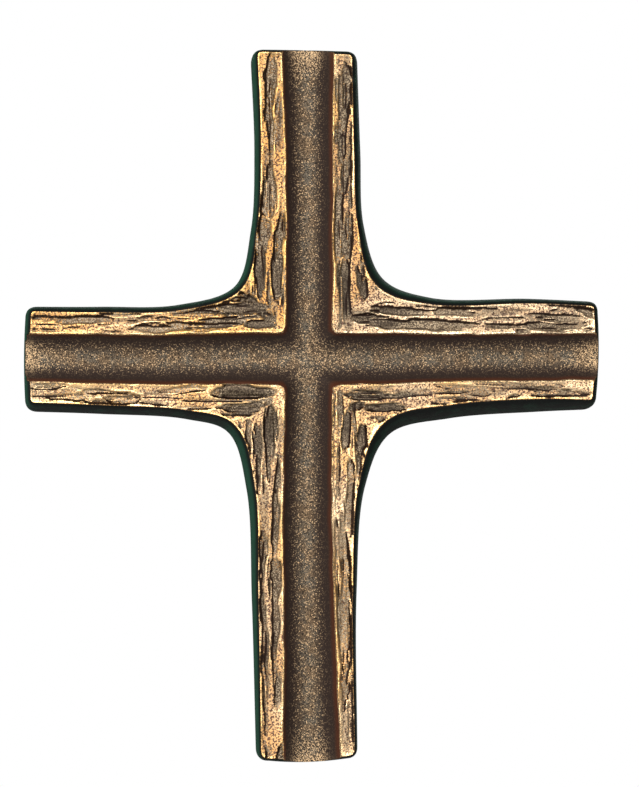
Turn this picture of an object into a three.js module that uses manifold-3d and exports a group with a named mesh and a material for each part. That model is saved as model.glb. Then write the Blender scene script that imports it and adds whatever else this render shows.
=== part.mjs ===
// A small wall cross cast in bronze, in one piece. A round-bottomed channel runs along both beams, and the
// raised bands beside it are scored with long gouges, like bark. Millimetres. The cross is drawn lying on its
// back, X to the viewer's right and Y up the cross, and the group at the end stands it up against the wall.
import * as THREE from "three";
import { mergeVertices } from "three/addons/utils/BufferGeometryUtils.js";
import Module from "manifold-3d";

// The casting: its depth, and side walls that stand straight at the back and lean in towards the bands
const THICKNESS = 8.5;
const STRAIGHT_WALL = 1.6;
const LEAN_STEPS = 4;

// The outline, one row for each quarter, clockwise from the corner of one arm's end, round the flared inner
// corner, to the corner of the next arm's end. The third number is how far the wall leans in there
const OUTLINE = {
  topRight: [
    [8.4, 53.45, 1.3], [9, 36, 1.55], [9.6, 23, 1.55], [12.95, 13.95, 2.35], [21, 10.75, 1.75],
    [38, 10.6, 1.35], [50.25, 10.1, 1.3],
  ],
  bottomRight: [
    [49.85, -8.5, 1.3], [40, -8.95, 2], [24.5, -10.15, 2.15], [14.2, -12.85, 2.3], [9.8, -22, 1.55],
    [8.3, -40, 1.05], [8.4, -68.85, 0.8],
  ],
  bottomLeft: [
    [-9, -69.3, 0.75], [-9.75, -42, 1], [-10.7, -22.5, 1.35], [-13.85, -12.7, 1.45], [-21, -10.4, 1.3],
    [-36, -9.5, 1.25], [-49, -9.1, 1.3],
  ],
  topLeft: [
    [-49, 8.9, 1.3], [-36, 8.95, 1.5], [-22.5, 9.35, 1.5], [-12.85, 12.6, 1.5], [-10, 22.5, 1], [-9.4, 36, 1],
    [-10.1, 53.65, 1.05],
  ],
};
const END_BOW = { top: 0.05, right: 0.3, bottom: 0.4, left: 0.2 };
const CORNER_ROUND = 2.1;
const SIDE_STEPS = 34;
const CORNER_STEPS = 4;
const BOW_STEPS = 4;

// The channels: a round tool drawn along each beam, its axis a little above the bands, from past one end to
// past the other. Each station has its place along the beam, how far the path strays to the left there, and
// the channel's half width at the bands
const CHANNELS = {
  upright: {
    turn: 0,
    stations: [
      [-72, -0.35, 5.05], [-60, -0.2, 4.75], [-44, 0.15, 4.35], [-28, 0.48, 4.23], [-12, 0.3, 4.12],
      [22, 0.05, 4.05], [40, 0.2, 4.18], [56, 0.45, 4.65],
    ],
  },
  beam: {
    turn: -Math.PI / 2,
    stations: [
      [-52, -0.17, 4.13], [-40, -0.36, 4.25], [-28, -0.52, 4.28], [-10, -0.3, 4.45], [10, -0.3, 4.42],
      [26, -0.06, 4.1], [53, 0.28, 4.05],
    ],
  },
};
const CHANNEL_AXIS_RISE = 1.7;
const CHANNEL_SIDES = 36;

// The gouges, band by band. A band is named by its arm and its side of the arm. Each stroke has its start and
// end along the arm, its distance from the arm's middle at both, and its width, or its widths at both
const ARM_TURNS = { top: 0, right: -Math.PI / 2, bottom: Math.PI, left: Math.PI / 2 };
const ARMS_CROSS_AT = [-0.1, -0.22];
const GOUGES = [
  { arm: "top", side: "left", strokes: [
    [24, 17.5, 7.7, 8.05, 2.9, 2.3], [18.5, 10.2, 8.05, 8.5, 2.2, 1.6], [10.5, 19, 5.3, 5.7, 2.1, 2.3],
    [17.5, 24.5, 5.6, 4.7, 2, 1.2], [24.4, 33, 7.1, 6.5, 3, 1.7], [36, 44.5, 6.6, 7.1, 1.1, 1.6],
    [43, 52, 6.9, 6.35, 1.9, 2.6],
  ] },
  { arm: "top", side: "right", strokes: [
    [7, 16.8, 6.4, 6.1, 1.7, 1.6], [10.5, 16.6, 9.3, 7.9, 2, 1], [17.6, 25, 6.4, 6.5, 1.8, 1.4],
    [17, 31, 5, 5.2, 1.6, 2.2], [28.5, 34.5, 5.7, 6.6, 2.3, 1.1], [33, 41, 5.1, 5.5, 1, 2.1],
    [38.5, 50.5, 5.8, 6.15, 1.8, 2.2],
  ] },
  { arm: "right", side: "upper", strokes: [
    [11, 20.6, 8.7, 7.9, 1.6, 1.4], [7.6, 16.5, 6.9, 5.8, 1.7], [15.5, 28.8, 5.9, 5.7, 1.6],
    [21.5, 28.5, 8.1, 7.9, 1.1], [30.7, 34.8, 5.6, 5.7, 1.3, 1.5], [36.3, 46, 5.7, 5.65, 1.6, 1.1],
    [37.8, 46.8, 7.4, 7, 1.4, 1],
  ] },
  { arm: "right", side: "lower", strokes: [
    [5.6, 14.5, 6.1, 6.5, 1.4, 1.5], [13.5, 21.5, 6.4, 6, 1, 0.8], [10, 17, 8.5, 8.1, 1.8, 1.4],
    [7.4, 8.8, 8.5, 7.9, 1.5, 1.3], [34, 43.3, 5.1, 4.6, 0.9, 1.1], [38.8, 46, 6.15, 6.1, 1, 0.8],
  ] },
  { arm: "bottom", side: "right", strokes: [
    [9.5, 15, 6.5, 6, 1.3, 1.6], [11.8, 16.5, 9, 8.7, 1.9, 1.5], [15, 21, 8.6, 8.4, 1.3, 0.8],
    [20.6, 30, 7.1, 6.75, 1.7, 1.5], [27, 38, 5.5, 5.9, 1.1, 2], [36.5, 52, 5.9, 6.1, 2.1, 2],
    [52.5, 60, 6.4, 5.8, 1.4, 1.3],
  ] },
  { arm: "bottom", side: "left", strokes: [
    [8.7, 17.6, 6.8, 6.6, 2.6, 2.3], [11, 22.5, 9, 8.7, 1.3], [17.3, 24, 5.2, 5.8, 1, 1.5],
    [22, 34, 5.75, 5.9, 1.6, 1.3], [30.3, 39, 8.1, 8, 1.3], [34.8, 43, 5.8, 6, 2, 1.6],
    [42, 51.6, 5.9, 5.9, 1.7], [46.3, 54.5, 7.45, 7.3, 1.3, 0.9], [52.3, 59.3, 5.5, 5.5, 1, 1.1],
  ] },
  { arm: "left", side: "lower", strokes: [
    [6.3, 16.1, 5.8, 5.95, 1.7, 2.5], [9, 14, 8.7, 8.6, 2], [18.5, 25.8, 5.3, 5.6, 1.1, 1.3],
    [29.5, 34.5, 7, 6.8, 1.9, 1.7], [35, 38, 5.7, 5.75, 1.3], [37.6, 44.5, 6.6, 6.6, 1.3],
    [42.2, 48.2, 4.7, 4.65, 1.1, 1.3],
  ] },
  { arm: "left", side: "upper", strokes: [
    [7.5, 15.5, 8.8, 8.4, 2.8, 2], [14, 25.5, 8.2, 7.75, 1.6, 0.7], [12, 6, 10.6, 5.9, 1.6, 1],
    [6, 10.6, 5.8, 5.9, 1.3, 1.7], [10.8, 20, 6.5, 5.5, 1.3, 1.6], [18.5, 31, 5.5, 4.75, 1.4, 1],
    [33.8, 43.5, 6.3, 6.5, 1.7, 1.4],
  ] },
];
const GOUGE_DEPTH_SHARE = 0.36;
const GOUGE_MAX_DEPTH = 0.75;
const GOUGE_LIFT = 0.05;
const GOUGE_SIDES = 8;
const GOUGE_RINGS = 6;

// The blind hole in the back of the upper arm that a nail or screw head goes into
const HANGING_HOLE = { radius: 3.1, depth: 4.3, up: 36, sides: 32 };

const BRONZE = { color: 0x8c6d48, roughness: 0.45, metalness: 0.9 };

// Points closer than this are welded
const WELD_DISTANCE = 1e-4;

const wasm = await Module();
wasm.setup();

function solidFrom(geometry) {
  geometry.deleteAttribute("normal");
  geometry.deleteAttribute("uv");
  const merged = mergeVertices(geometry, WELD_DISTANCE);
  const vertProperties = new Float32Array(merged.attributes.position.array);
  const triVerts = new Uint32Array(merged.index.array);
  return new wasm.Manifold(new wasm.Mesh({ numProp: 3, vertProperties, triVerts }));
}

function geometryFrom(solid) {
  const mesh = solid.getMesh();
  const geometry = new THREE.BufferGeometry();
  geometry.setAttribute("position", new THREE.BufferAttribute(mesh.vertProperties, 3));
  geometry.setIndex(new THREE.BufferAttribute(mesh.triVerts, 1));
  geometry.computeVertexNormals();
  return geometry;
}

// One quarter's side, from just past the first corner to just short of the last one
function quarterSide(row) {
  const places = row.map((point) => new THREE.Vector3(...point));
  const curve = new THREE.CatmullRomCurve3(places, false, "centripetal");
  const skip = CORNER_ROUND / curve.getLength();
  const points = [];
  for (let i = 0; i <= SIDE_STEPS; i++) {
    points.push(curve.getPointAt(skip + (1 - 2 * skip) * (i / SIDE_STEPS)));
  }
  return points;
}

// An arm's end: a rounded corner, a slightly bowed edge and the next rounded corner
function armEnd(from, cornerA, cornerB, to, bow) {
  const edge = cornerB.clone().sub(cornerA);
  const step = edge.clone().setLength(CORNER_ROUND);
  const outward = new THREE.Vector3(-edge.y, edge.x, 0).setLength(2 * bow);
  const edgeStart = cornerA.clone().add(step);
  const edgeEnd = cornerB.clone().sub(step);
  const crown = cornerA.clone().lerp(cornerB, 0.5).add(outward);
  const curves = [
    new THREE.QuadraticBezierCurve3(from, cornerA, edgeStart).getPoints(CORNER_STEPS),
    new THREE.QuadraticBezierCurve3(edgeStart, crown, edgeEnd).getPoints(BOW_STEPS),
    new THREE.QuadraticBezierCurve3(edgeEnd, cornerB, to).getPoints(CORNER_STEPS),
  ];
  return curves.flatMap((points) => points.slice(1));
}

// The whole outline as points with the wall's lean as their third number
function outlineLoop() {
  const rows = [OUTLINE.topRight, OUTLINE.bottomRight, OUTLINE.bottomLeft, OUTLINE.topLeft];
  const bows = [END_BOW.right, END_BOW.bottom, END_BOW.left, END_BOW.top];
  const sides = rows.map(quarterSide);
  const points = [];
  rows.forEach((row, i) => {
    const next = (i + 1) % rows.length;
    const cornerA = new THREE.Vector3(...row.at(-1));
    const cornerB = new THREE.Vector3(...rows[next][0]);
    points.push(...sides[i]);
    points.push(...armEnd(sides[i].at(-1), cornerA, cornerB, sides[next][0], bows[i]).slice(0, -1));
  });
  return points;
}

// Rings round the outline from the back to the bands: straight at first, then leaning in
function wallRings() {
  const loop = outlineLoop();
  const levels = [[0, 0]];
  for (let i = 0; i <= LEAN_STEPS; i++) {
    const turn = (i / LEAN_STEPS) * (Math.PI / 2);
    levels.push([STRAIGHT_WALL + (THICKNESS - STRAIGHT_WALL) * Math.sin(turn), 1 - Math.cos(turn)]);
  }
  return levels.map(([height, share]) => loop.map((point, i) => {
    const run = loop[(i + 1) % loop.length].clone().sub(loop.at(i - 1));
    const inward = new THREE.Vector3(run.y, -run.x, 0).setLength(point.z * share);
    return new THREE.Vector3(point.x, point.y, height).add(inward);
  }));
}

function ringLid(ring) {
  return THREE.ShapeUtils.triangulateShape(ring.map(({ x, y }) => new THREE.Vector2(x, y)), []);
}

// The cross before carving: the rings joined up, with a flat lid at the back and another at the bands
function blankSolid() {
  const rings = wallRings();
  const count = rings[0].length;
  const front = (rings.length - 1) * count;
  const faces = ringLid(rings[0]).flatMap(([a, b, c]) => [c, b, a]);
  faces.push(...ringLid(rings.at(-1)).flat().map((corner) => corner + front));
  for (let start = 0; start < front; start += count) {
    for (let i = 0; i < count; i++) {
      const here = start + i;
      const next = start + ((i + 1) % count);
      faces.push(here, here + count, next, next, here + count, next + count);
    }
  }
  const blank = new THREE.BufferGeometry().setFromPoints(rings.flat());
  blank.setIndex(faces);
  return solidFrom(blank);
}

// One channel's tool: a round bar with a ring at each station, moved and widened as the station says
function channelSolid({ turn, stations }) {
  const spans = stations.length - 1;
  const bar = new THREE.CylinderGeometry(1, 1, 1, CHANNEL_SIDES, spans);
  const place = bar.attributes.position;
  for (let i = 0; i < place.count; i++) {
    const [along, stray, half] = stations[Math.round((place.getY(i) + 0.5) * spans)];
    const radius = Math.hypot(half, CHANNEL_AXIS_RISE);
    place.setXYZ(i, place.getX(i) * radius - stray, along, place.getZ(i) * radius);
  }
  bar.rotateZ(turn);
  bar.translate(0, 0, THICKNESS + CHANNEL_AXIS_RISE);
  return solidFrom(bar);
}

// A place on a band, from its distance along the arm and its distance from the arm's middle
function bandPoint(arm, side, along, across) {
  const sideways = { left: [-1, 0], right: [1, 0], upper: [0, 1], lower: [0, -1] }[side];
  const point = new THREE.Vector2(0, along).rotateAround(new THREE.Vector2(), ARM_TURNS[arm]);
  point.add(new THREE.Vector2(...sideways).multiplyScalar(across));
  return point.add(new THREE.Vector2(...ARMS_CROSS_AT));
}

// One gouge: a ball stretched from end to end, wider towards one of them, and sunk into the band
function gougeSolid(arm, side, [from, to, acrossFrom, acrossTo, widthFrom, widthTo = widthFrom]) {
  const start = bandPoint(arm, side, from, acrossFrom);
  const end = bandPoint(arm, side, to, acrossTo);
  const run = end.clone().sub(start);
  const ball = new THREE.SphereGeometry(1, GOUGE_SIDES, GOUGE_RINGS);
  const place = ball.attributes.position;
  for (let i = 0; i < place.count; i++) {
    const width = THREE.MathUtils.lerp(widthFrom, widthTo, (place.getY(i) + 1) / 2);
    const depth = Math.min(GOUGE_MAX_DEPTH, width * GOUGE_DEPTH_SHARE);
    place.setXYZ(i, place.getX(i) * width / 2, place.getY(i) * run.length() / 2, place.getZ(i) * depth);
  }
  ball.rotateZ(run.angle() - Math.PI / 2);
  ball.translate((start.x + end.x) / 2, (start.y + end.y) / 2, THICKNESS + GOUGE_LIFT);
  return solidFrom(ball);
}

function hangingHoleSolid({ radius, depth, up, sides }) {
  const hole = new THREE.CylinderGeometry(radius, radius, 2 * depth, sides);
  hole.rotateX(Math.PI / 2);
  hole.translate(0, up, 0);
  return solidFrom(hole);
}

function bronzeCross() {
  let cross = blankSolid();
  for (const channel of Object.values(CHANNELS)) {
    cross = cross.subtract(channelSolid(channel));
  }
  for (const { arm, side, strokes } of GOUGES) {
    for (const stroke of strokes) {
      cross = cross.subtract(gougeSolid(arm, side, stroke));
    }
  }
  cross = cross.subtract(hangingHoleSolid(HANGING_HOLE));
  const mesh = new THREE.Mesh(geometryFrom(cross), new THREE.MeshStandardMaterial(BRONZE));
  mesh.name = "bronze_cross";
  return mesh;
}

// Standing: the back on the wall at Y = 0, the face towards -Y, the crossing at the origin
const wallCross = new THREE.Group();
wallCross.add(bronzeCross());
wallCross.rotation.x = Math.PI / 2;

export default wallCross;
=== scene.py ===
import math
import bmesh
import bpy
import numpy as np
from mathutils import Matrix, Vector
from mathutils.geometry import delaunay_2d_cdt


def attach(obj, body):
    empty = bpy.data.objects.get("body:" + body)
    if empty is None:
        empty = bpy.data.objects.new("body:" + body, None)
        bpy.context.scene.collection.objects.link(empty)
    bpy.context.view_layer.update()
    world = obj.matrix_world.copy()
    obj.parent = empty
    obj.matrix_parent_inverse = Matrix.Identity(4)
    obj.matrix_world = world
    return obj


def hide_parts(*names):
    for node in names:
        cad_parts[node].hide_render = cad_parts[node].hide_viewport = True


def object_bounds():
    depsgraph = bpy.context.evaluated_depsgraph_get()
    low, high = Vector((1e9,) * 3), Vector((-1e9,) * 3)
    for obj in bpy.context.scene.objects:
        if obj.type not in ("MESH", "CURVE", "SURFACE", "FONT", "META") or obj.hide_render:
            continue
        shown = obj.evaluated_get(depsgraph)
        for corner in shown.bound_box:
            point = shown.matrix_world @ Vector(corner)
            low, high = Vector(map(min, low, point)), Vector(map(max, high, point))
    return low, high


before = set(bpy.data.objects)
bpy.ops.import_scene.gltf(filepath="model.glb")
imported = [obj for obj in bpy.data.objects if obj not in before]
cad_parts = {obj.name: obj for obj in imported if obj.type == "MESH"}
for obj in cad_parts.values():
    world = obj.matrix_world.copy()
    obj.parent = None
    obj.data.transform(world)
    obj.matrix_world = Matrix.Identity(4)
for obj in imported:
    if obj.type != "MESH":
        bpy.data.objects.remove(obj)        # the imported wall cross: one node, bronze_cross
cadLow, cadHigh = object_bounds()
mm = 0.001
print("frame loaded:", sorted(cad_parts))

# Plan points are (x, z) in millimetres, and height is how far a point stands in front of the flat back.

casting = {
    "thickness": (cadHigh.y - cadLow.y) / mm,   # back plane to the bands
    "straightWall": 1.6,      # upright foot of the side walls
    "cornerRound": 2.1,       # corners of the arm ends
    "endBow": {"right": 0.3, "bottom": 0.4, "left": 0.2, "top": 0.05},   # in the order of the quarters below
    "sidePoints": 300,        # traced along each quarter of the outline,
    "cornerPoints": 12,       # round each corner
    "endPoints": 20,          # and along each arm end
    "loopSpacing": 0.32,      # between points of the finished outline
    "rimClear": 0.13,         # points on the front keep this far from its outer rim
    "wallSteps": [0.07, 0.16, 0.28, 0.44, 0.62, 0.8, 1.0],   # from that rim down to the straight foot
    "flankStart": 0.4,        # how far the side walls' finish has set in at the rim
    "flankFull": 0.6,         # step at which it is complete
    "green": {"all": 0.5, "left": 0.5, "below": -0.45},      # green tint, most at the left; least below, where the darker wall is painted shade
    "mouthRub": 0.7,          # rubbed lips where the channel leaves the arm ends
    "backRound": 0.4,         # softened edge round the back
    "backSteps": (0, 0.33, 0.67, 1),
    "backReach": 80,          # half the span of the grid of points on the back
    "backSpacing": 2.5,
    "backClear": 1.0,         # those points keep this far from the edge and the hole
    "backGreen": 0.4,
    "hole": {"radius": 3.1, "depth": 4.3, "up": 36, "points": 48},
}
# Each quarter runs clockwise from arm end to arm end: x, z and how far the wall leans in there.
outline = {
    "topRight": [
        (8.4, 53.45, 1.3), (9, 36, 1.55), (9.6, 23, 1.55), (12.95, 13.95, 2.35), (21, 10.75, 1.75),
        (38, 10.6, 1.35), (50.25, 10.1, 1.3)],
    "bottomRight": [
        (49.85, -8.5, 1.3), (40, -8.95, 2), (24.5, -10.15, 2.15), (14.2, -12.85, 2.3), (9.8, -22, 1.55),
        (8.3, -40, 1.05), (8.4, -68.85, 0.8)],
    "bottomLeft": [
        (-9, -69.3, 0.75), (-9.75, -42, 1), (-10.7, -22.5, 1.35), (-13.85, -12.7, 1.45), (-21, -10.4, 1.3),
        (-36, -9.5, 1.25), (-49, -9.1, 1.3)],
    "topLeft": [
        (-49, 8.9, 1.3), (-36, 8.95, 1.5), (-22.5, 9.35, 1.5), (-12.85, 12.6, 1.5), (-10, 22.5, 1),
        (-9.4, 36, 1), (-10.1, 53.65, 1.05)],
}


def smoothStep(low, high, value):
    share = np.clip((value - low) / (high - low), 0, 1)
    return share * share * (3 - 2 * share)


def between(low, high, share):
    return low + (high - low) * share


def softNoise(u, v, seed):    # smooth noise from 0 to 1, the same each run
    size = 64
    table = np.random.default_rng(seed).random((size, size))
    left, low = np.floor(u).astype(int), np.floor(v).astype(int)
    s, t = smoothStep(0, 1, u - left), smoothStep(0, 1, v - low)
    left, right = left % size, (left + 1) % size
    low, high = low % size, (low + 1) % size
    below = between(table[left, low], table[right, low], s)
    above = between(table[left, high], table[right, high], s)
    return between(below, above, t)


def splineThrough(points, perSpan=40):    # a smooth line through a few points
    row = np.array(points, float)
    row = np.vstack([2 * row[0] - row[1], row, 2 * row[-1] - row[-2]])
    share = np.linspace(0, 1, perSpan, endpoint=False)[:, None]
    gaps = np.sqrt(np.linalg.norm(np.diff(row, axis=0), axis=1))
    spans = []
    for i in range(len(row) - 3):
        before, start, end, after = row[i:i + 4]
        t0, t1, t2 = gaps[i:i + 3]
        leave = ((start - before) / t0 - (end - before) / (t0 + t1) + (end - start) / t1) * t1
        arrive = ((end - start) / t1 - (after - start) / (t1 + t2) + (after - end) / t2) * t1
        cubic = 2 * start - 2 * end + leave + arrive
        square = -3 * start + 3 * end - 2 * leave - arrive
        spans.append(start + leave * share + square * share ** 2 + cubic * share ** 3)
    return np.vstack(spans + [row[-2:-1]])


def alongLine(points):        # running length at each point of a line
    return np.concatenate([[0], np.cumsum(np.linalg.norm(np.diff(points, axis=0), axis=1))])


def pointsAt(points, places):     # points at given lengths along a line
    run = alongLine(points)
    return np.column_stack([np.interp(places, run, column) for column in points.T])


def bend(start, pull, end, count):    # quadratic curve, both ends included
    share = np.linspace(0, 1, count)[:, None]
    return (1 - share) ** 2 * start + 2 * share * (1 - share) * pull + share ** 2 * end


def quarterSide(row):
    line = splineThrough(row)
    corner = casting["cornerRound"]
    return pointsAt(line, np.linspace(corner, alongLine(line)[-1] - corner, casting["sidePoints"]))


def armEnd(start, cornerA, cornerB, end, bow):
    edge = (cornerB - cornerA) / np.linalg.norm(cornerB - cornerA)
    edgeStart = cornerA + edge * casting["cornerRound"]
    edgeEnd = cornerB - edge * casting["cornerRound"]
    crown = (cornerA + cornerB) / 2 + 2 * bow * np.array([-edge[1], edge[0], 0])
    return np.vstack([
        bend(start, cornerA, edgeStart, casting["cornerPoints"])[1:],
        bend(edgeStart, crown, edgeEnd, casting["endPoints"])[1:],
        bend(edgeEnd, cornerB, end, casting["cornerPoints"])[1:-1],
    ])


def outlineLoop():            # evenly spaced points round the cross, each with its wall's lean
    rows = [np.array(row, float) for row in outline.values()]
    sides = [quarterSide(row) for row in rows]
    parts = []
    for i, bow in enumerate(casting["endBow"].values()):
        following = (i + 1) % len(rows)
        parts.append(sides[i])
        parts.append(armEnd(sides[i][-1], rows[i][-1], rows[following][0], sides[following][0], bow))
    line = np.vstack(parts + [parts[0][:1]])
    length = alongLine(line)[-1]
    count = round(length / casting["loopSpacing"])
    return pointsAt(line, np.linspace(0, length, count, endpoint=False))


def inwardNormals(loop):      # the loop runs clockwise, so inward is to the right
    run = np.roll(loop, -1, axis=0) - np.roll(loop, 1, axis=0)
    run /= np.linalg.norm(run, axis=1)[:, None]
    return np.column_stack([run[:, 1], -run[:, 0]])


def distanceInside(points, loop):     # how far each point lies inside a loop, less than 0 outside
    normals = inwardNormals(loop)
    lightLoop = loop.astype(np.float32)
    inside = np.empty(len(points))
    batch = 4000              # points at a time, to spare memory
    for first in range(0, len(points), batch):
        some = points[first:first + batch].astype(np.float32)
        near = ((some[:, None, :] - lightLoop[None]) ** 2).sum(2).argmin(1)
        inside[first:first + batch] = ((some - loop[near]) * normals[near]).sum(1)
    return inside


channel = {
    "axisRise": 1.7,          # the round channel's axis stands this far above the bands
    "crossBlend": 1.3,        # softening where the two channels meet
    "upright": [              # place along it, its middle and its half width, from foot to top
        (-72, 0.35, 5.05), (-60, 0.2, 4.75), (-44, -0.15, 4.35), (-28, -0.48, 4.23), (-12, -0.3, 4.12),
        (22, -0.05, 4.05), (40, -0.2, 4.18), (56, -0.45, 4.65)],
    "beam": [                 # the same from left to right
        (-52, -0.17, 4.13), (-40, -0.36, 4.25), (-28, -0.52, 4.28), (-10, -0.3, 4.45), (10, -0.3, 4.42),
        (26, -0.06, 4.1), (53, 0.28, 4.05)],
    "darker": 0.45,           # how much wider its right and lower walls are dark
    "wander": 0.07,           # how far its rims stray from those lines
    "wanderScale": 3.0,
    "wanderSeed": {"upright": 41, "beam": 43},
    "rowsAcross": 19,
    "rowSpacing": 0.55,
    "rimRow": 0.16,           # close rows of points, this far to each side of the rims
    "rowsApart": 0.05,        # rows of the two channels stop this far short of each other
}


def channelLine(along, name):     # a channel's middle and half width at places along it
    place, middle, half = np.array(channel[name]).T
    seed = channel["wanderSeed"][name]
    sway, swell = [2 * softNoise(along / channel["wanderScale"], 0 * along, seed + i) - 1 for i in range(2)]
    return (np.interp(along, place, middle) + channel["wander"] * sway,
            np.interp(along, place, half) + channel["wander"] * swell)


def besideChannel(across, along, name):   # place across a channel, its half width and distance outside it
    middle, half = channelLine(along, name)
    aside = across - middle
    return aside, half, np.abs(aside) - half


def channelForm(points):      # distance outside the rims, height of the round surface, and darkness of its walls: patina with painted shade
    x, z = points.T
    xAside, xHalf, outUpright = besideChannel(x, z, "upright")
    zAside, zHalf, outBeam = besideChannel(z, x, "beam")
    blend = channel["crossBlend"]
    soft = np.maximum(blend - np.abs(outUpright - outBeam), 0)
    gap = np.minimum(outUpright, outBeam) - soft ** 2 / (4 * blend)
    nearUpright = smoothStep(-blend, blend, outBeam - outUpright)
    half = between(zHalf, xHalf, nearUpright)
    fromAxis = half + np.minimum(gap, 0)
    rise = channel["axisRise"]
    height = casting["thickness"] + rise - np.sqrt(half ** 2 + rise ** 2 - fromAxis ** 2)
    wall = np.clip(fromAxis / half, 0, 1)
    shaded = smoothStep(0, half, between(-zAside, xAside, nearUpright))
    return gap, height, between(wall, 1, channel["darker"] * shaded)


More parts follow.
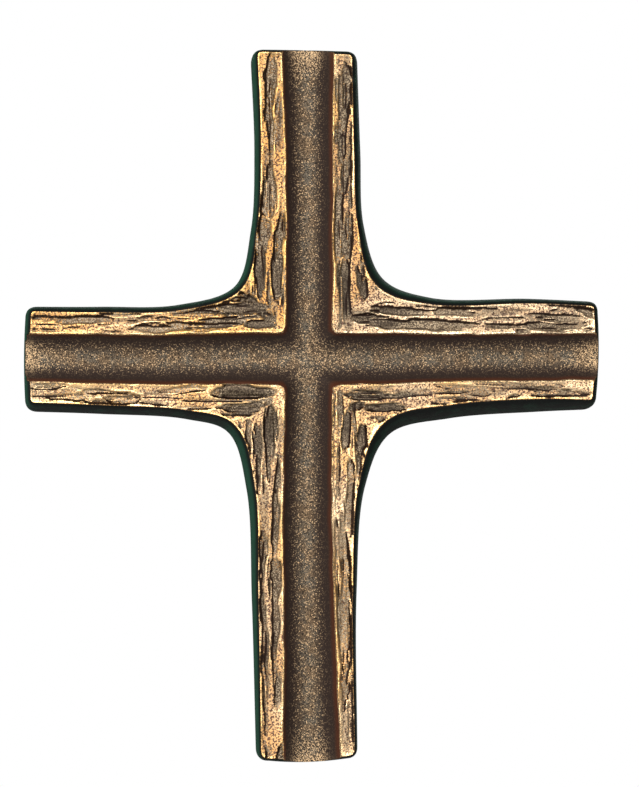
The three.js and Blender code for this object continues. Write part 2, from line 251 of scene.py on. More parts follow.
barkCuts = {                  # start and end along the arm, distance from its middle at both, width at both
    ("top", "left"): [
        (24, 17.5, 7.7, 8.05, 2.5, 1.9), (18.5, 10.2, 8.05, 8.5, 1.8, 1.2), (10.5, 19, 5.3, 5.7, 1.7, 1.9),
        (17.5, 24.5, 5.6, 4.7, 1.6, 0.9), (8.5, 12.5, 4.9, 4.6, 0.8, 0.6), (24.4, 33, 7.1, 6.5, 2.6, 1.3),
        (36, 44.5, 6.6, 7.1, 0.8, 1.2), (43, 52, 6.9, 6.35, 1.5, 2.2), (38, 45, 5.15, 4.85, 0.5, 0.6),
        (42.5, 46, 5.8, 5.1, 0.4, 0.5), (36, 40, 5.7, 5.9, 0.4, 0.3)],
    ("top", "right"): [
        (7, 16.8, 6.4, 6.1, 1.3, 1.2), (8.5, 16.5, 5.4, 5, 0.6, 0.5), (10.5, 16.6, 9.3, 7.9, 1.6, 0.7),
        (17.6, 25, 6.4, 6.5, 1.4, 1), (17, 31, 5, 5.2, 1.2, 1.8), (26, 29.6, 6.9, 6.8, 0.6, 0.5),
        (28.5, 34.5, 5.7, 6.6, 1.9, 0.8), (33, 41, 5.1, 5.5, 0.7, 1.7), (38.5, 50.5, 5.8, 6.15, 1.4, 1.8),
        (37.4, 39.8, 4.5, 4.7, 0.9, 0.8), (44.8, 48, 4.75, 4.6, 0.6, 0.5), (36, 40.5, 7, 7, 0.4, 0.3),
        (47, 52, 5.5, 5.6, 0.4, 0.3)],
    ("right", "upper"): [
        (11, 20.6, 8.7, 7.9, 1.2, 1), (7.6, 16.5, 6.9, 5.8, 1.3, 1.3), (15.5, 28.8, 5.9, 5.7, 1.2, 1.2),
        (21.5, 28.5, 8.1, 7.9, 0.8, 0.8), (30.7, 34.8, 5.6, 5.7, 0.9, 1.1), (36.3, 46, 5.7, 5.65, 1.2, 0.8),
        (36.4, 37.4, 4.8, 4.8, 0.9, 0.8), (37.8, 46.8, 7.6, 7, 0.7, 0.6), (39.5, 45, 7.2, 7.1, 1.1, 0.9),
        (46.2, 49.2, 8.9, 7.6, 0.7, 0.8)],
    ("right", "lower"): [
        (5.6, 14.5, 6.1, 6.5, 1, 1.1), (7.5, 12.5, 6.5, 6.6, 1.1, 1.2), (13.5, 21.5, 6.4, 6, 0.7, 0.5),
        (20.5, 28.5, 5.95, 5.4, 0.4, 0.4), (10, 17, 8.5, 8.1, 1.4, 1), (7.4, 8.8, 8.5, 7.9, 1.1, 0.9),
        (22, 27.5, 6.95, 6.7, 0.5, 0.6), (32.8, 36.2, 7.1, 6, 0.35, 0.4), (34, 43.3, 5.1, 4.6, 0.6, 0.8),
        (38.8, 46, 6.15, 6.1, 0.7, 0.5), (39, 41, 5.5, 5.3, 0.8, 0.6), (43, 48.5, 5.5, 5.9, 0.7, 0.3)],
    ("bottom", "right"): [
        (9.5, 15, 6.5, 6, 0.9, 1.2), (11.8, 16.5, 9, 8.7, 1.5, 1.1), (15, 21, 8.6, 8.4, 0.9, 0.4),
        (18, 20.4, 6.9, 6.8, 0.8, 0.7), (20.6, 30, 7.1, 6.75, 1.3, 1.1), (27, 38, 5.5, 5.9, 0.8, 1.6),
        (36.5, 52, 5.9, 6.1, 1.7, 1.6), (52.5, 60, 6.4, 5.8, 1, 0.9), (58, 67, 6.6, 6.75, 0.4, 0.3)],
    ("bottom", "left"): [
        (8.7, 17.6, 6.75, 6.6, 1.9, 1.3), (16, 20.5, 6.8, 6.8, 0.8, 0.5), (16.6, 16.8, 5.9, 4.6, 0.35, 0.35),
        (11, 22.5, 9, 8.7, 0.9, 0.9), (17.3, 24, 5.2, 5.8, 0.7, 1.1), (22, 34, 5.75, 5.9, 1.2, 0.9),
        (30.3, 39, 8.1, 8, 0.9, 0.9), (34.8, 43, 5.8, 6, 1.6, 1.2), (42, 51.6, 5.9, 5.9, 1.3, 1.3),
        (39.5, 46.5, 7.9, 7.6, 0.8, 0.7), (46.3, 54.5, 7.45, 7.3, 0.9, 0.6),
        (52.3, 59.3, 5.5, 5.5, 0.7, 0.8), (50.5, 57, 6.2, 6, 0.3, 0.35), (55.5, 60, 7.75, 7.7, 0.3, 0.3),
        (65, 68.3, 7.65, 7.1, 0.4, 0.4), (66.3, 69.5, 4.6, 5.3, 0.7, 1.3)],
    ("left", "lower"): [
        (6.3, 16.1, 5.8, 5.95, 1.3, 2.1), (9, 15.8, 5.7, 5.9, 1.9, 2), (7.6, 16, 8, 8.35, 1, 0.6),
        (9, 14, 8.7, 8.6, 1.6, 1.6), (10.3, 12.8, 9.6, 9.5, 0.9, 0.9), (17, 22.8, 8.5, 8.45, 0.4, 0.6),
        (18.5, 25.8, 5.3, 5.6, 0.8, 0.9), (24.8, 29, 8, 7.5, 0.45, 0.5), (29.5, 34.5, 7, 6.8, 1.5, 1.3),
        (35, 38, 5.7, 5.75, 0.9, 0.8), (37.6, 44.5, 6.6, 6.6, 0.9, 0.9), (42.2, 48.2, 4.7, 4.65, 0.8, 0.9),
        (35, 38.5, 7.6, 7.6, 0.4, 0.3)],
    ("left", "upper"): [
        (7.5, 15.5, 8.8, 8.4, 2.4, 1.6), (14, 25.5, 8.2, 7.75, 1.2, 0.45), (11, 15, 7.6, 7.7, 0.8, 0.7),
        (11.4, 6.4, 10.6, 6.5, 2.2, 1.2), (6.2, 8, 6.2, 7.4, 0.4, 0.5), (7.8, 11.5, 7.45, 7, 0.5, 0.5),
        (6, 10.6, 5.8, 5.9, 0.9, 1.3), (10.8, 20, 6.5, 5.5, 0.9, 1.2), (18.5, 31, 5.5, 4.75, 1, 0.7),
        (29.5, 35.5, 7.3, 7.35, 0.5, 0.4), (33.8, 43.5, 6.3, 6.5, 1.3, 1), (42, 48.2, 6.75, 6.65, 0.7, 0.7),
        (47.9, 48.3, 6.8, 5.3, 0.3, 0.3)],
}
wornPatches = {               # shallow grainy stretches, in the same form
    ("top", "left"): [
        (32, 36.5, 7, 6.8, 1.6, 1.4), (24.5, 27, 4.9, 4.8, 0.4, 0.4), (36, 46, 5.2, 5.2, 1.4, 1.2)],
    ("top", "right"): [
        (4.8, 8.5, 6.8, 6.6, 1.6, 1.6), (49, 52, 6.4, 6.4, 1.2, 1)],
    ("right", "upper"): [
        (28, 37.5, 7.8, 8.3, 1, 0.7), (41.6, 43.6, 4.7, 4.8, 0.7, 0.5), (43, 47, 6.2, 6, 1, 1)],
    ("right", "lower"): [
        (15, 20.5, 5.7, 5.6, 0.9, 0.7), (22, 27.5, 5.3, 5.2, 0.6, 0.6), (27, 33.8, 6, 5.4, 1.2, 1),
        (9, 14, 5.3, 5.2, 0.6, 0.6)],
    ("bottom", "right"): [
        (18, 23.5, 5, 5.2, 0.6, 0.8), (39, 47, 5.1, 5.1, 0.8, 0.7), (60, 66.5, 6.2, 6.3, 0.6, 0.7),
        (8, 12, 7.2, 6.6, 0.9, 0.9)],
    ("bottom", "left"): [
        (11, 15.8, 5, 5.1, 0.7, 0.6), (12, 16, 8.2, 8.1, 0.6, 0.5), (22.5, 31, 7.7, 7.6, 0.8, 1),
        (53, 58, 7, 7.2, 0.5, 0.4)],
    ("left", "lower"): [
        (17.3, 22.5, 7.4, 7, 0.7, 0.6), (44, 48, 6.6, 6.6, 0.7, 0.7), (25, 29, 6, 5.6, 0.8, 0.8)],
    ("left", "upper"): [
        (6, 6.5, 7.2, 10, 1.4, 1.4), (29, 33.5, 6.6, 6.2, 0.8, 0.8)],
}
bark = {
    "crossing": (-0.1, -0.22),   # plan point that the cuts are measured from
    "cornerBlend": 2.5,       # over the inner corners, where the streaks turn from upright to beam
    "reach": (2, 15),         # nearest and farthest that the bands lie from the middle of an arm
    "spacing": 0.19,          # between points on the bands
    "widen": 0.26,            # sloping rims of the wider cuts, on top of the widths above
    "widenFrom": (0.4, 1),    # widths where that starts and where it is full
    "overrun": 0.8,           # how far each cut runs out beyond its ends
    "taper": (3, 0.7),        # powers that round a cut off towards its ends
    "fadePower": 4,           # and one that makes it shallower there,
    "endDepth": 0.3,          # down to this share of its depth
    "depthShare": 0.4,        # a cut's depth, as a share of its width
    "depths": (0.22, 0.75),   # shallowest and deepest cut
    "streakDepth": 0.5,       # how much its depth varies with the streaks
    "wall": 0.24,             # width of its steep side
    "fray": 0.65,             # how far its edges wander with the streaks
    "fibre": 0.3,             # and with the finer fibres
    "wornDepth": 0.1,
    "wornEdge": 0.3,          # soft edge of a worn patch, to each side
    "streaks": {"across": 0.6, "along": 6.5, "seed": 21},
    "fibres": {"across": 0.36, "along": 2.2, "seed": 61},
    "loose": {"across": 0.75, "along": 9.0, "seed": 71},     # shallow streaks between the cuts
    "octaves": (0.6, 0.4),    # weights of a streak's coarse and fine noise
    "noiseShift": 20,         # picks the part of the noise that is used
    "streakLevels": (0.15, 0.85),
    "streakHeight": 0.14,
    "looseFray": 0.25,
    "looseLevels": (0.68, 0.8),   # noise levels where a loose streak starts and where it is full
    "looseDepth": 0.2,
    "looseRecess": 0.6,       # how much it looks like the floor of a cut
    "rimWidth": 0.34,         # rubbed ridges along both edges of a band
    "rimHeight": 0.08,
    "rubbed": {               # how much brighter each band is worn
        ("top", "left"): 0.13, ("top", "right"): 0.04, ("right", "upper"): 0.12,
        ("right", "lower"): 0.16, ("bottom", "right"): 0.28, ("bottom", "left"): 0.08,
        ("left", "lower"): 0.36, ("left", "upper"): 0.19},
    "faded": {                # from orange gold to a paler one
        ("top", "left"): 0.2, ("top", "right"): 0.45, ("right", "upper"): 0.9,
        ("right", "lower"): 0.65, ("bottom", "right"): 0.6, ("bottom", "left"): 0.6,
        ("left", "lower"): 0.5, ("left", "upper"): 0.35},
}


def bandPoint(arm, side, along, across):
    ahead = {"top": (0, 1), "bottom": (0, -1), "right": (1, 0), "left": (-1, 0)}[arm]
    sideways = {"left": (-1, 0), "right": (1, 0), "upper": (0, 1), "lower": (0, -1)}[side]
    return np.array(bark["crossing"]) + along * np.array(ahead) + across * np.array(sideways)


def uprightShare(points):     # 1 on the upright, 0 on the beam, blended over the inner corners
    x, z = np.abs(points).T
    return smoothStep(-bark["cornerBlend"], bark["cornerBlend"], z - x)


def bandLevels(points, name):     # each band's own level of wear or colour
    x, z = points.T
    level = bark[name]
    onTop = np.where(x < 0, level["top", "left"], level["top", "right"])
    onBottom = np.where(x < 0, level["bottom", "left"], level["bottom", "right"])
    onLeft = np.where(z > 0, level["left", "upper"], level["left", "lower"])
    onRight = np.where(z > 0, level["right", "upper"], level["right", "lower"])
    upright, beam = np.where(z > 0, onTop, onBottom), np.where(x < 0, onLeft, onRight)
    return between(beam, upright, uprightShare(points))


def strokeReach(points, strokes):     # distance inside the nearest stroke, its width and its fading ends
    within, width, fade = np.full(len(points), -np.inf), np.ones(len(points)), np.ones(len(points))
    taper, roundness = bark["taper"]
    for (arm, side), rows in strokes.items():
        for first, last, acrossFirst, acrossLast, startWidth, endWidth in rows:
            start = bandPoint(arm, side, first, acrossFirst)
            run = bandPoint(arm, side, last, acrossLast) - start
            overrun = run * bark["overrun"] / np.linalg.norm(run)
            start, run = start - overrun, run + 2 * overrun
            length = np.linalg.norm(run)
            along = (points - start) @ run / length ** 2
            across = np.abs((points - start) @ np.array([-run[1], run[0]])) / length
            share = np.clip(along, 0, 1)
            fromMiddle = np.abs(2 * share - 1)
            wide = between(startWidth, endWidth, share)
            wide += bark["widen"] * smoothStep(*bark["widenFrom"], wide)
            half = wide / 2 * (1 - fromMiddle ** taper) ** roundness
            inside = half - across - np.abs(along - share) * length
            nearer = inside > within
            within[nearer], width[nearer] = inside[nearer], wide[nearer]
            fade[nearer] = 1 - fromMiddle[nearer] ** bark["fadePower"]
    return within, width, fade


def barkStreaks(points, name):    # streaks from 0 to 1 along the arms, turning with them at the crossing
    x, z = points.T
    size, shift = bark[name], bark["noiseShift"]
    onUpright = uprightShare(points)
    total = np.zeros(len(points))
    for octave, weight in enumerate(bark["octaves"]):
        across, along = size["across"] / 2 ** octave, size["along"] / 2 ** octave
        seed = size["seed"] + 2 * octave
        upright = softNoise(x / across + shift, z / along + shift, seed)
        beam = softNoise(x / along + shift, z / across + shift, seed + 1)
        total += weight * between(beam, upright, onUpright)
    return smoothStep(*bark["streakLevels"], total)


def barkRelief(points):       # depth of the cuts, unevenness between them, floors, worn patches, streaks
    streaks, fibres, loose = [barkStreaks(points, name) for name in ("streaks", "fibres", "loose")]
    stray = bark["fray"] * (streaks - 0.5) + bark["fibre"] * (fibres - 0.5)
    within, width, fade = strokeReach(points, barkCuts)
    within = within + stray * np.minimum(width, 1)
    worn = smoothStep(-bark["wornEdge"], bark["wornEdge"], strokeReach(points, wornPatches)[0] + stray)
    loose = smoothStep(*bark["looseLevels"], loose + bark["looseFray"] * (fibres - 0.5))
    depth = np.clip(width * bark["depthShare"], *bark["depths"])
    recess = smoothStep(-bark["wall"] / 2, bark["wall"] / 2, within) * between(bark["endDepth"], 1, fade)
    uneven = bark["rimHeight"] + bark["streakHeight"] * (1 - streaks) + bark["looseDepth"] * loose
    cut = depth * recess * (1 + bark["streakDepth"] * (streaks - 0.5))
    cut = np.maximum(cut, bark["wornDepth"] * worn)
    return cut, uneven, np.maximum(recess, bark["looseRecess"] * loose), worn, streaks


def blurred(values, faces, passes):   # values shared out between neighbouring points
    ends = np.vstack([faces[:, [i, j]] for i, j in ((0, 1), (1, 2), (2, 0), (1, 0), (2, 1), (0, 2))])
    count = np.bincount(ends[:, 0], minlength=len(values))
    for _ in range(passes):
        around = np.bincount(ends[:, 0], weights=values[ends[:, 1]], minlength=len(values)) / count
        values = (values + around) / 2
    return values


def outwardTurn(points, height, faces):   # how far the surface turns away from the channel, -1 to 1
    corners = np.column_stack([points, height])[faces]
    normals = np.cross(corners[:, 1] - corners[:, 0], corners[:, 2] - corners[:, 0])
    normals *= np.sign(normals[:, 2:])
    shares = np.repeat(normals, 3, axis=0)
    summed = np.column_stack([np.bincount(faces.ravel(), share, len(points)) for share in shares.T])
    summed /= np.linalg.norm(summed, axis=1)[:, None]
    turn = np.sign(points) * summed[:, :2]
    return between(turn[:, 1], turn[:, 0], uprightShare(points))


wear = {                      # where the bands are rubbed bright and where they stay dark, with painted shade and painted highlights
    "patchSize": 1.6,         # rims and creases come and go in patches
    "patchSeed": 33,
    "weakRim": 0.4,           # share of a rim that is left between the patches
    "rimPatches": (0.15, 0.6),
    "smoothing": 4,           # passes of the smoothing that ridges and hollows are told by
    "ridges": (0.01, 0.1),    # heights above the smoothed surface
    "hollows": (0.012, 0.08),     # depths below it
    "weakCrease": 0.25,       # share of a crease that is left between the patches
    "creasePatches": (0.3, 0.55),
    "shadedSlopes": (0.2, 0.5),   # steepness towards the channel, where shade is painted
    "openSlopes": (0.35, -0.05),  # steepness away from it, where the painted shade fades
    "openCrease": 0.3,        # to this share
    "rub": 0.25,              # rub all over the bands, then what is added to it, a painted highlight among it
    "streakRub": 0.5,
    "rimRub": 0.6,
    "ridgeRub": 0.3,
    "wornRub": -0.2,
    "slopeHighlight": 0.3,          # painted highlight on slopes that turn away from the channel
    "rubbedSlopes": (0.15, 0.5),
    "arms": (12, 22),         # from the crossing's dark floors out to the paler ones of the arms
    "crossingFloor": 1.4,
    "ridgeFloor": 0.6,        # how much the floors' look gives way on ridges
    "rubbedFloor": 0.9,       # and on the rubbed arms
    "mouthRub": 0.4,          # the channel brightens towards the arm ends,
    "mouthReach": (6, 0),
    "lipRub": 0.4,            # more so at their very edge
    "lipReach": (0.6, 0.1),
    "crossingRub": 0.1,       # and a little at the crossing
    "crossingReach": (9, 2),
    "rimFaded": 0.35,         # rims stay more orange
}
finishNames = ("rub", "recess", "worn", "crease", "faded", "wall", "inChannel", "flank", "green")


def finishOf(count, **given):     # the named finishes of some points, and 0 for the others
    return {name: np.zeros(count) + given.get(name, 0) for name in finishNames}


def frontSurface(points, faces, fromEdge):    # height and finish of every point on the front
    top = casting["thickness"]
    gap, channelHeight, wall = channelForm(points)
    cut, uneven, recess, worn, streaks = barkRelief(points)
    onBand = gap >= 0
    fromRim = np.where(onBand, np.minimum(gap, fromEdge), fromEdge)
    patches = softNoise(*points.T / wear["patchSize"], wear["patchSeed"])
    rim = np.exp(-(fromRim / bark["rimWidth"]) ** 2)
    rim *= between(wear["weakRim"], 1, smoothStep(*wear["rimPatches"], patches))
    height = np.where(onBand, top - (1 - rim) * uneven - cut, np.minimum(channelHeight, top - cut))

    hollow = blurred(height, faces, wear["smoothing"]) - height     # above 0 in creases, below 0 on ridges
    ridge = smoothStep(*wear["ridges"], -hollow)
    turned = outwardTurn(points, height, faces)
    # painted shade: darker in the hollows, in patches, and on slopes facing the channel, fading on slopes
    # that turn away
    crease = smoothStep(*wear["hollows"], hollow)
    crease *= between(wear["weakCrease"], 1, smoothStep(*wear["creasePatches"], patches))
    crease = np.maximum(crease, smoothStep(*wear["shadedSlopes"], -turned))
    crease *= between(wear["openCrease"], 1, smoothStep(*wear["openSlopes"], turned))

    rubbed = bandLevels(points, "rubbed")
    rub = wear["rub"] + rubbed + wear["streakRub"] * (streaks - 0.5) + wear["rimRub"] * rim
    rub += wear["ridgeRub"] * ridge + wear["wornRub"] * worn
    # painted highlight: slopes that turn away from the channel are brighter
    rub += wear["slopeHighlight"] * smoothStep(*wear["rubbedSlopes"], turned)
    onArms = smoothStep(*wear["arms"], np.abs(points).max(1))
    recess = recess * between(wear["crossingFloor"], 1, onArms)
    recess *= (1 - wear["ridgeFloor"] * ridge) * (1 - wear["rubbedFloor"] * rubbed * onArms)
    mouth = wear["mouthRub"] * smoothStep(*wear["mouthReach"], fromEdge)
    mouth += wear["lipRub"] * smoothStep(*wear["lipReach"], fromEdge)
    mouth += wear["crossingRub"] * smoothStep(*wear["crossingReach"], np.hypot(*points.T))
    faded = bandLevels(points, "faded") * (1 - wear["rimFaded"] * rim)
    finish = finishOf(len(points), rub=np.where(onBand, np.clip(rub, 0, 1), mouth), recess=recess * onBand,
                      worn=worn * onBand, crease=crease * onBand, faded=faded,
                      wall=np.where(onBand, 0, wall), inChannel=1.0 - onBand)
    return height, finish


def triangulate(loop, inner):     # triangles between a loop and the points inside it
    places = np.vstack([loop, inner])
    edges = [(i, (i + 1) % len(loop)) for i in range(len(loop))]
    onlyInside, tolerance = 1, 1e-6
    made = delaunay_2d_cdt([Vector(place) for place in places], edges, [], onlyInside, tolerance)
    if len(made[0]) != len(places):
        raise RuntimeError("the outline crosses itself")
    return places, np.array([list(face) for face in made[2]])


def ontoRim(points, offset):  # moves points to a set distance from the channel's rim
    step, passes = 0.01, 4
    for _ in range(passes):
        gap = channelForm(points)[0]
        ahead = np.column_stack([channelForm(points + move)[0] for move in ((step, 0), (0, step))])
        slope = (ahead - gap[:, None]) / step
        points = points - ((gap - offset) / (slope ** 2).sum(1))[:, None] * slope
    return points


def channelRows():            # rows of points along both channels, and close rows beside their rims
    places = []
    for name, other in (("upright", "beam"), ("beam", "upright")):
        low, high = channel[name][0][0], channel[name][-1][0]
        along = np.arange(low, high, channel["rowSpacing"])
        middle, half = channelLine(along, name)
        steepest = np.arctan2(half, channel["axisRise"])
        radius = np.hypot(half, channel["axisRise"])
        rows = [(None, along, middle + radius * np.sin(steepest * share))
                for share in np.linspace(-1, 1, channel["rowsAcross"] + 2)[1:-1]]
        along = np.arange(low, high, bark["spacing"])
        middle, half = channelLine(along, name)
        rows += [(offset, along, middle + side * (half + offset))
                 for offset in (-channel["rimRow"], 0, channel["rimRow"]) for side in (-1, 1)]
        for offset, along, across in rows:
            outside = besideChannel(across, along, name)[2]
            outsideOther = besideChannel(along, across, other)[2]
            row = np.column_stack([across, along] if name == "upright" else [along, across])
            row = row[outside < outsideOther - channel["rowsApart"]]
            places.append(row if offset is None else ontoRim(row, offset))
    return np.vstack(places)


def bandGrid():               # a staggered grid of points over the bands
    step = bark["spacing"]
    rise = step * math.sqrt(3) / 2
    rows = np.arange(cadLow.z / mm, cadHigh.z / mm, rise)
    columns = np.arange(cadLow.x / mm, cadHigh.x / mm, step)
    x, z = np.meshgrid(columns, rows)
    x = x + step / 2 * (np.arange(len(rows)) % 2)[:, None]
    places = np.column_stack([x.ravel(), z.ravel()])
    fromMiddle = np.abs(places).min(1)
    nearest, farthest = bark["reach"]
    places = places[(fromMiddle > nearest) & (fromMiddle < farthest)]
    return places[channelForm(places)[0] > channel["rimRow"] + step / 2]


class Shell:                  # points and faces of the casting, gathered part by part
    def __init__(self):
        self.plan, self.heights, self.finishes, self.faces = [], [], [], []
        self.count = 0

    def addPoints(self, plan, height, finish):    # gives back the points' numbers
        ids = np.arange(self.count, self.count + len(plan))
        self.plan.append(plan)
        self.heights.append(np.zeros(len(plan)) + height)
        self.finishes.append(finish)
        self.count += len(plan)
        return ids

    def addFaces(self, faces):
        self.faces.extend(faces.tolist())

    def addRing(self, outer, inner):      # four-sided faces between two loops of points
        self.addFaces(np.column_stack([inner, outer, np.roll(outer, -1), np.roll(inner, -1)]))

    def makeObject(self, name):
        plan, heights = np.vstack(self.plan), np.concatenate(self.heights)
        corners = np.column_stack([plan[:, 0], -heights, plan[:, 1]]) * mm
        mesh = bpy.data.meshes.new(name)
        mesh.from_pydata(corners.tolist(), [], self.faces)
        turning = bmesh.new()             # turns every face outwards
        turning.from_mesh(mesh)
        bmesh.ops.recalc_face_normals(turning, faces=turning.faces)
        turning.to_mesh(mesh)
        turning.free()
        for finishName in finishNames:
            values = np.concatenate([finish[finishName] for finish in self.finishes]).astype(np.float32)
            mesh.attributes.new(finishName, "FLOAT", "POINT").data.foreach_set("value", values)
        mesh.polygons.foreach_set("use_smooth", [True] * len(mesh.polygons))
        made = bpy.data.objects.new(name, mesh)
        bpy.context.scene.collection.objects.link(made)
        triangles = sum(len(polygon.vertices) - 2 for polygon in mesh.polygons)
        print("cross:", len(mesh.vertices), "points,", triangles, "triangles")
        return made


def addFront(shell, rim):     # the carved face, gives back its height along the outer rim
    inner = np.vstack([channelRows(), bandGrid()])
    inner = inner[distanceInside(inner, rim) > casting["rimClear"]]
    points, faces = triangulate(rim, inner)
    fromEdge = np.concatenate([np.zeros(len(rim)), distanceInside(points[len(rim):], rim)])
    height, finish = frontSurface(points, faces, fromEdge)
    shell.addPoints(points, height, finish)
    shell.addFaces(faces)
    print("front:", len(points), "points,", len(faces), "triangles")
    return height[:len(rim)]


def wallRings(lean):          # inset, height and finish of each ring, from the rim to the flat back
    rings = []
    foot, slope = casting["straightWall"], casting["thickness"] - casting["straightWall"]
    for step in casting["wallSteps"]:
        turn = step * math.pi / 2
        flank = between(casting["flankStart"], 1, smoothStep(0, casting["flankFull"], step))
        rings.append((lean * (1 - math.sin(turn)), foot + slope * math.cos(turn), flank))
    softEdge = casting["backRound"]
    for step in casting["backSteps"]:
        turn = step * math.pi / 2
        rings.append((softEdge * (1 - math.cos(turn)), softEdge * (1 - math.sin(turn)), 1.0))
    return rings


def addWalls(shell, loop, lean, rimHeight):   # side walls and the back's edge, gives back the last ring
    inward = inwardNormals(loop)
    share = casting["green"]
    atLeft, below = np.maximum(inward, 0).T
    # less green, so darker, on the underside: painted shade
    green = share["all"] + share["left"] * atLeft + share["below"] * below
    last = np.arange(len(loop))
    for inset, level, flank in wallRings(lean):
        ring = loop + inward * inset
        gap, channelHeight, wall = channelForm(ring)
        inMouth = (gap < 0) & (channelHeight < level)
        level = np.where(inMouth, channelHeight, np.minimum(level, rimHeight))
        finish = finishOf(len(ring), rub=inMouth * casting["mouthRub"], wall=np.where(inMouth, wall, 0),
                          inChannel=inMouth, flank=np.where(inMouth, 0, flank), green=green)
        ids = shell.addPoints(ring, level, finish)
        shell.addRing(ids, last)
        last = ids
    return ring, last


def addBack(shell, edge, edgeIds):    # the flat back and its blind hanging hole
    hole = casting["hole"]
    turns = np.linspace(0, 2 * math.pi, hole["points"], endpoint=False)
    mouth = np.column_stack([hole["radius"] * np.sin(turns), hole["up"] + hole["radius"] * np.cos(turns)])
    grid = np.arange(-casting["backReach"], casting["backReach"], casting["backSpacing"])
    spots = np.stack(np.meshgrid(grid, grid), -1).reshape(-1, 2)
    fromHole = np.hypot(spots[:, 0], spots[:, 1] - hole["up"]) - hole["radius"]
    clear = casting["backClear"]
    spots = spots[(fromHole > clear) & (distanceInside(spots, edge) > clear)]
    inner = np.vstack([mouth, spots])
    faces = triangulate(edge, inner)[1]
    onMouth = (faces >= len(edge)) & (faces < len(edge) + len(mouth))
    innerIds = shell.addPoints(inner, 0, finishOf(len(inner), flank=1, green=casting["backGreen"]))
    ids = np.concatenate([edgeIds, innerIds])
    shell.addFaces(ids[faces[~onMouth.all(1), ::-1]])       # faces across the hole are left out
    floorFinish = finishOf(len(mouth), flank=1, green=casting["backGreen"])
    floorIds = shell.addPoints(mouth, hole["depth"], floorFinish)
    shell.addRing(innerIds[:len(mouth)], floorIds)
    shell.addFaces(floorIds[None])


def buildCross():
    traced = outlineLoop()
    loop, lean = traced[:, :2], traced[:, 2:]
    shell = Shell()
    rimHeight = addFront(shell, loop + inwardNormals(loop) * lean)
    edge, edgeIds = addWalls(shell, loop, lean, rimHeight)
    addBack(shell, edge, edgeIds)
    return shell.makeObject("crossCasting")


def srgb(red, green, blue):   # a colour as seen, as Blender's linear values
    channels = []
    for value in (red, green, blue):
        value /= 255
        channels.append(value / 12.92 if value <= 0.04045 else ((value + 0.055) / 1.055) ** 2.4)
    return (*channels, 1)


bronze = {
    "goldBright": srgb(246, 194, 116),   # rubbed ridges and rims, and painted highlights on slopes
    "goldWarm": srgb(236, 174, 96),
    "goldFaded": srgb(230, 194, 151),
    "goldPale": srgb(250, 222, 182),
    "goldBrown": srgb(122, 87, 58),      # half-worn stretches of the bands
    "pit": srgb(82, 54, 49),
    "recessPale": srgb(157, 138, 112),   # floors of the cuts
    "recessDeep": srgb(64, 53, 42),
    "crease": srgb(40, 27, 20),          # painted shade along the edges of the cuts
    "troughGrey": srgb(112, 103, 89),    # grains of the channel, grey and warm in turn
    "troughWarm": srgb(124, 101, 76),
    "troughDull": srgb(42, 34, 26),
    # the channel's walls: dark patina, with the shade of the round hollow painted in
    "troughWallPatinaAndShade": srgb(49, 37, 31),
    "troughGrain": srgb(222, 187, 143),  # its brightest grains: bare metal through the patina, with painted glints
    "troughRim": srgb(80, 42, 24),       # reddish line under the rims
    "flankGreen": srgb(36, 80, 60),      # side walls and back
    # dark side walls, and painted shade on the underside
    "flankBlackAndShade": srgb(20, 22, 18),
    "flankShadeLine": srgb(9, 11, 9),         # thin line of painted shade below the rim
    "bandGrain": 3800,                   # grains a metre
    "channelGrain": 7200,
    "coarse": (3100, 2.0, 0.6),          # scale, detail and roughness of the soft noises
    "mottle": (420, 3.0, 0.6),
    "drift": (70, 1.0, 0.5),             # slow change of colour from place to place
    "grainMiddle": (0.2, 0.75, 0.75, 0.0),   # a grain's level from its middle to its edge
    "grainVariety": 0.25,                # how much the grains differ
    "bumpStrength": 0.8,
    "bumpHeight": 0.1 * mm,
    "specular": 0.2,
}
patina = {                    # levels where each change starts and ends, then what it goes from and to
    "tintDrift": (0.35, 0.65, -0.2, 0.2),
    "pits": (0.49, 0.55),
    "pitsByRub": (0.5, 1.0, 0.95, 0.2),
    "floorGrain": (0.2, 0.8),
    "deepFloor": (0.95, 1.4, 0.0, 0.7),
    "troughHue": (0.35, 0.65),
    "troughGrain": (0.2, 0.62),
    "sheltered": (0.3, 0.85, 1.0, 0.05),     # fewer bright grains and painted glints up the channel's walls
    "glints": (0.72, 0.9),
    "rimLine": (0.86, 0.98),
    "greenTint": (0.3, 0.7, -0.18, 0.18),
    "flankLine": (0.45, 1.0),
    "flankEdge": (0.0, 0.4),
    "metallic": (0.0, 1.0, 0.25, 0.85),
    "roughness": (0.0, 1.0, 0.72, 0.36),
    # These have a grainy edge: how grainy it is, then the levels where the change starts and ends.
    "toGold": (1.2, -0.5, 0.1),
    "toPale": (1.1, 0.4, 0.85),
    "toWorn": (1.0, 0.2, 0.8),
    "toFloor": (0.9, 0.25, 0.75),
    "toCreaseShade": (0.5, 0.27, 0.95),
    "toWallPatinaAndShade": (0.4, 0.06, 0.76),
    "grainBase": 0.4,                    # grains above this level push such a change on
    "mottledRub": 0.8,                   # how much the rub varies with the mottling
    "wornFloor": 0.6,                    # how much a worn patch looks like a floor
    "glintRub": 0.4,                     # how much more the rubbed mouths glint
}


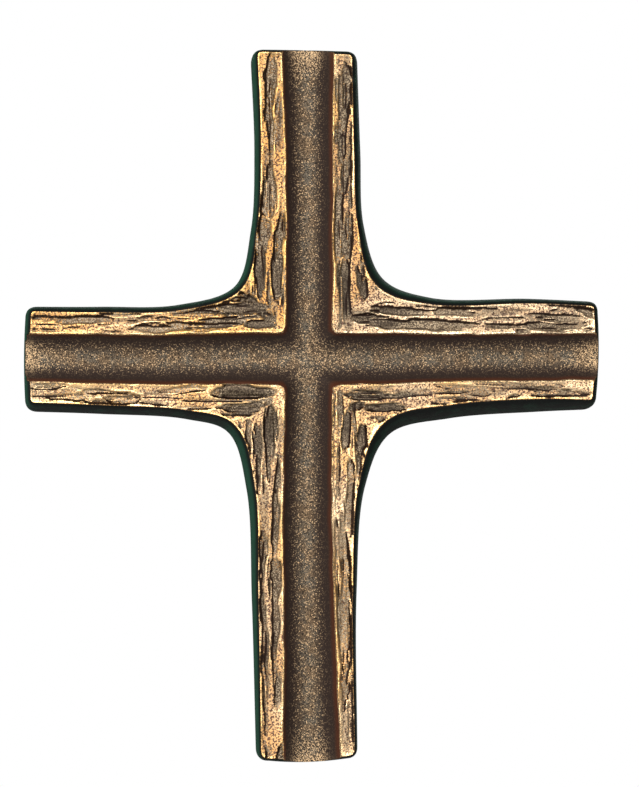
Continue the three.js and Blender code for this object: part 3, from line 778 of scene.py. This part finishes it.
class Tree:                   # the shader nodes of a material or of the world
    def __init__(self, owner):
        self.nodes, self.links = owner.node_tree.nodes, owner.node_tree.links
        self.nodes.clear()

    def fill(self, socket, value):        # links a socket, or sets its number or colour
        if isinstance(value, bpy.types.NodeSocket):
            self.links.new(value, socket)
        else:
            socket.default_value = value

    def add(self, kind, inputs=None, **settings):
        node = self.nodes.new(kind)
        for name, value in settings.items():
            setattr(node, name, value)
        for name, value in (inputs or {}).items():
            self.fill(node.inputs[name], value)
        return node

    def attribute(self, name):
        return self.add("ShaderNodeAttribute", attribute_name=name).outputs["Fac"]

    def mixColor(self, share, first, second):
        inputs = {0: share, 6: first, 7: second}      # its sockets for a share and two colours
        return self.add("ShaderNodeMix", inputs, data_type="RGBA").outputs[2]

    def math(self, operation, first, second):
        return self.add("ShaderNodeMath", {0: first, 1: second}, operation=operation).outputs[0]

    def remap(self, value, low, high, toLow=0.0, toHigh=1.0):
        inputs = {"Value": value, "From Min": low, "From Max": high, "To Min": toLow, "To Max": toHigh}
        return self.add("ShaderNodeMapRange", inputs, interpolation_type="SMOOTHSTEP").outputs[0]

    def cells(self, place, scale):
        return self.add("ShaderNodeTexVoronoi", {"Vector": place, "Scale": scale}).outputs

    def grains(self, place, scale):       # bright in the middle of each grain, some brighter than others
        cells = self.cells(place, scale)
        variety = self.math("MULTIPLY", cells["Color"], bronze["grainVariety"])
        return self.math("ADD", self.remap(cells["Distance"], *bronze["grainMiddle"]), variety)

    def specks(self, place, scale):       # one level for each grain, from 0 to 1
        return self.cells(place, scale)["Color"]

    def noise(self, place, scale, detail, roughness):
        inputs = {"Vector": place, "Scale": scale, "Detail": detail, "Roughness": roughness}
        return self.add("ShaderNodeTexNoise", inputs).outputs["Fac"]


def bronzeMaterial():
    material = bpy.data.materials.new("patinatedBronze")
    material.use_nodes = True
    tree = Tree(material)
    place = tree.add("ShaderNodeTexCoord").outputs["Object"]
    finishes = [tree.attribute(name) for name in finishNames]
    rub, recess, worn, crease, faded, wall, inChannel, flank, green = finishes
    grain = tree.grains(place, bronze["bandGrain"])
    fine = tree.specks(place, bronze["channelGrain"])
    coarse, mottle, drift = [tree.noise(place, *bronze[name]) for name in ("coarse", "mottle", "drift")]

    def ramp(value, name):
        return tree.remap(value, *patina[name])

    def grainyRamp(value, name, grains=grain):
        amount, low, high = patina[name]
        speckle = tree.math("MULTIPLY", tree.math("SUBTRACT", grains, patina["grainBase"]), amount)
        return tree.remap(tree.math("ADD", value, speckle), low, high)

    mottling = tree.math("MULTIPLY", tree.math("SUBTRACT", mottle, 0.5), patina["mottledRub"])
    tone = tree.math("ADD", rub, mottling)
    tint = tree.remap(tree.math("ADD", faded, ramp(drift, "tintDrift")), 0.0, 1.0)
    warm = tree.mixColor(tint, bronze["goldWarm"], bronze["goldFaded"])
    pale = tree.mixColor(tint, bronze["goldBright"], bronze["goldPale"])
    gold = tree.mixColor(grainyRamp(tone, "toGold"), bronze["goldBrown"], warm)
    gold = tree.mixColor(grainyRamp(tone, "toPale"), gold, pale)
    pits = tree.math("MULTIPLY", ramp(coarse, "pits"), ramp(rub, "pitsByRub"))
    gold = tree.mixColor(pits, gold, bronze["pit"])
    floor = tree.mixColor(ramp(grain, "floorGrain"), bronze["recessDeep"], bronze["recessPale"])
    floor = tree.mixColor(ramp(recess, "deepFloor"), floor, bronze["recessDeep"])
    wornFloor = tree.math("MULTIPLY", grainyRamp(worn, "toWorn"), patina["wornFloor"])
    gold = tree.mixColor(wornFloor, gold, floor)
    band = tree.mixColor(grainyRamp(recess, "toFloor"), gold, floor)
    # painted shade along the creases and slopes of the cuts
    band = tree.mixColor(grainyRamp(crease, "toCreaseShade"), band, bronze["crease"])

    trough = tree.mixColor(ramp(mottle, "troughHue"), bronze["troughGrey"], bronze["troughWarm"])
    trough = tree.mixColor(ramp(fine, "troughGrain"), bronze["troughDull"], trough)
    # walls darken towards the rims: patina, with painted shade of the round hollow
    trough = tree.mixColor(grainyRamp(wall, "toWallPatinaAndShade", fine), trough, bronze["troughWallPatinaAndShade"])
    # bright grains of bare metal, partly painted glints
    glintGrain = tree.math("ADD", fine, tree.math("MULTIPLY", rub, patina["glintRub"]))
    glints = tree.math("MULTIPLY", ramp(glintGrain, "glints"), ramp(wall, "sheltered"))
    trough = tree.mixColor(glints, trough, bronze["troughGrain"])
    trough = tree.mixColor(ramp(wall, "rimLine"), trough, bronze["troughRim"])

    # green tint by facing; painted shade darkens the underside
    greenTint = tree.math("ADD", green, ramp(mottle, "greenTint"))
    side = tree.mixColor(greenTint, bronze["flankBlackAndShade"], bronze["flankGreen"])
    # painted shade along the top of the side walls, just below the rim
    side = tree.mixColor(ramp(flank, "flankLine"), bronze["flankShadeLine"], side)
    color = tree.mixColor(inChannel, band, trough)
    color = tree.mixColor(ramp(flank, "flankEdge"), color, side)

    bright = tree.math("MULTIPLY", rub, tree.math("SUBTRACT", 1.0, inChannel))
    bump = tree.add("ShaderNodeBump", {"Strength": bronze["bumpStrength"], "Distance": bronze["bumpHeight"],
                                       "Height": coarse})
    shader = tree.add("ShaderNodeBsdfPrincipled", {
        "Base Color": color, "Metallic": ramp(bright, "metallic"), "Roughness": ramp(bright, "roughness"),
        "Specular IOR Level": bronze["specular"], "Normal": bump.outputs["Normal"]})
    tree.add("ShaderNodeOutputMaterial", {"Surface": shader.outputs["BSDF"]})
    return material


studio = {
    "distance": 0.6,                     # camera to the cross
    "azimuth": -2.7,                     # a little to the left of straight on
    "elevation": -3.0,                   # and a little below
    "imageSize": (639, 787),
    "pixelsPerMm": 5.75,                 # at the plane of the back
    "imageMiddle": (2.0, -5.83),         # plan point behind the middle of the image, mm
    "lights": {                          # place, width and power
        "keyLight": ((-0.28, -1.22, 0.48), 0.6, 17.0),
        "frontFill": ((0.25, -1.5, 0.1), 0.9, 7.0),
        "leftFill": ((-1.2, -0.3, 0.1), 0.5, 4.0),
        "backFill": ((0.15, 0.9, 0.2), 0.6, 3.0),
    },
    "worldLight": 0.12,
    "floorDrop": 0.5,                    # floor below the foot of the cross
    "floorHalf": 0.9,
    "floorColor": (0.8, 0.8, 0.79, 1),
    "floorRoughness": 0.9,
}


def addCamera():
    view = bpy.data.cameras.new("photoCamera")
    view.sensor_fit = "AUTO"
    shown = max(studio["imageSize"]) / studio["pixelsPerMm"] * mm
    view.lens = view.sensor_width * studio["distance"] / shown
    camera = bpy.data.objects.new("photoCamera", view)
    bpy.context.scene.collection.objects.link(camera)
    azimuth, elevation = math.radians(studio["azimuth"]), math.radians(studio["elevation"])
    back = Vector((math.sin(azimuth) * math.cos(elevation), -math.cos(azimuth) * math.cos(elevation),
                   math.sin(elevation)))
    middle = Vector((studio["imageMiddle"][0] * mm, 0, studio["imageMiddle"][1] * mm))
    camera.location = middle + back * studio["distance"]
    camera.rotation_euler = (-back).to_track_quat("-Z", "Y").to_euler()
    bpy.context.scene.camera = camera


def addLight(name, place, size, power):   # a round lamp that faces the cross
    lamp = bpy.data.lights.new(name, "AREA")
    lamp.shape, lamp.size, lamp.energy = "DISK", size, power
    light = bpy.data.objects.new(name, lamp)
    light.location = place
    light.rotation_euler = (-Vector(place)).to_track_quat("-Z", "Y").to_euler()
    bpy.context.scene.collection.objects.link(light)


def addStudio():
    for name, settings in studio["lights"].items():
        addLight(name, *settings)
    world = bpy.data.worlds.new("paleStudio")
    bpy.context.scene.world = world
    world.use_nodes = True
    tree = Tree(world)
    path = tree.add("ShaderNodeLightPath").outputs["Is Camera Ray"]
    level = tree.remap(path, 0.0, 1.0, studio["worldLight"], 1.0)
    sky = tree.add("ShaderNodeBackground", {"Color": (1, 1, 1, 1), "Strength": level})
    tree.add("ShaderNodeOutputWorld", {"Surface": sky.outputs["Background"]})
    bpy.context.scene.view_settings.view_transform = "Standard"
    bpy.context.scene.view_settings.look = "None"


def addFloor():
    mesh = bpy.data.meshes.new("paleFloor")
    half, level = studio["floorHalf"], cadLow.z - studio["floorDrop"]
    corners = [(-half, -half, level), (half, -half, level), (half, half, level), (-half, half, level)]
    mesh.from_pydata(corners, [], [(0, 1, 2, 3)])
    floor = bpy.data.objects.new("paleFloor", mesh)
    bpy.context.scene.collection.objects.link(floor)
    material = bpy.data.materials.new("paleFloor")
    material.use_nodes = True
    shader = material.node_tree.nodes["Principled BSDF"]
    shader.inputs["Base Color"].default_value = studio["floorColor"]
    shader.inputs["Roughness"].default_value = studio["floorRoughness"]
    mesh.materials.append(material)


addCamera()
addStudio()
addFloor()
print("studio ready")

cross = buildCross()
cross.data.materials.append(bronzeMaterial())
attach(cross, "root")
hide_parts("bronze_cross")
print("bronze cross dressed")
